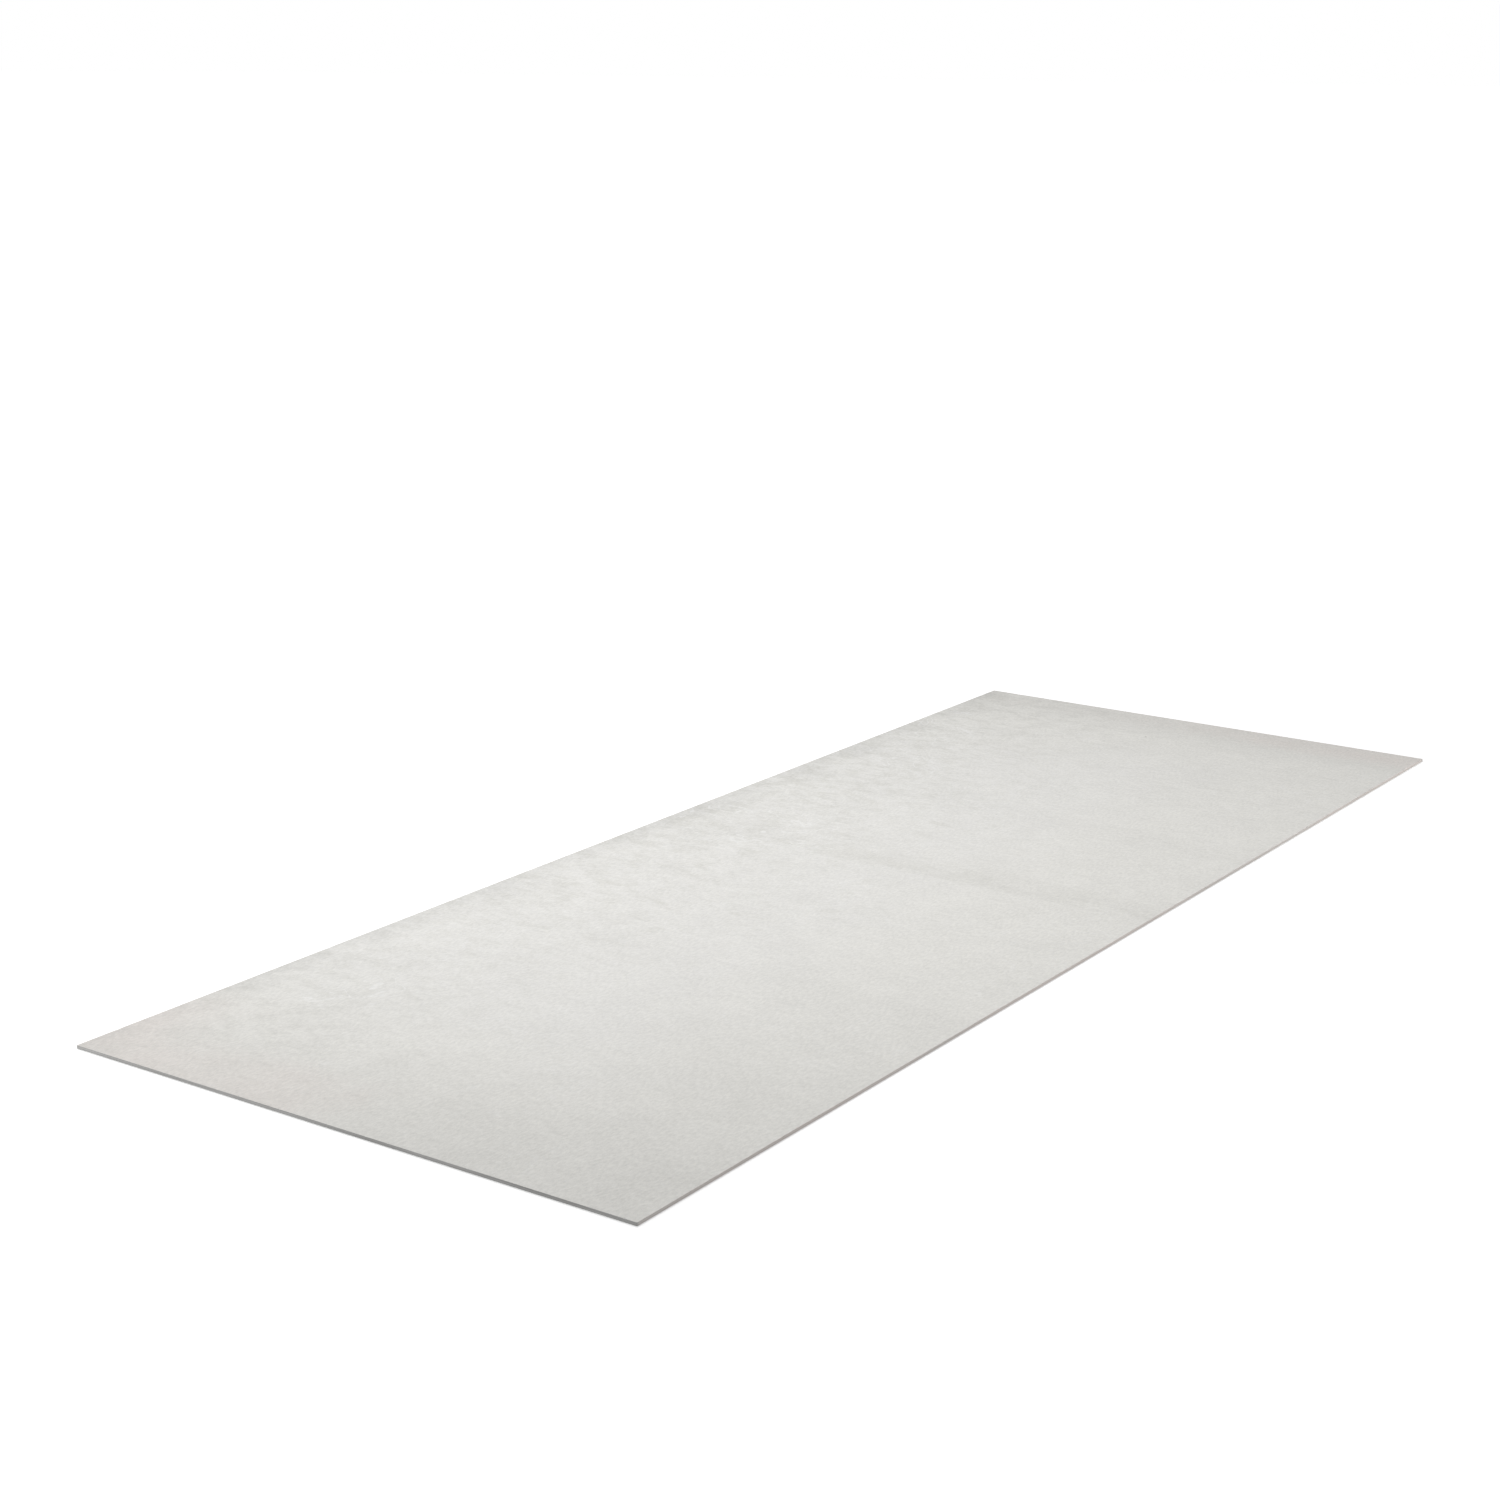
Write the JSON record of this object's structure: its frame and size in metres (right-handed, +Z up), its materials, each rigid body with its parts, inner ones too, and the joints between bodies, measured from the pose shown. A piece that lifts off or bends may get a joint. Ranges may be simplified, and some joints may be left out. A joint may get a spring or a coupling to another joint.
{
  "type": "fiber cement sheet",
  "caption": "Flat rectangular fibre cement sheet with square trimmed edges, a smooth pale grey face and a rougher back, for lining and cladding framed walls and ceilings.",
  "frame": {"origin": "middle of the back face, on the surface that the sheet lies on", "axes": "+X across the width, +Y along the length, +Z up out of the finished face"},
  "size_m": [0.9, 2.4, 0.0045],
  "materials": {
    "fibre_cement": "matte, dry, faintly mottled pale grey cement with fine fibres"
  },
  "bodies": {
    "root": {"sheet": "fibre_cement"}
  },
  "joints": []
}
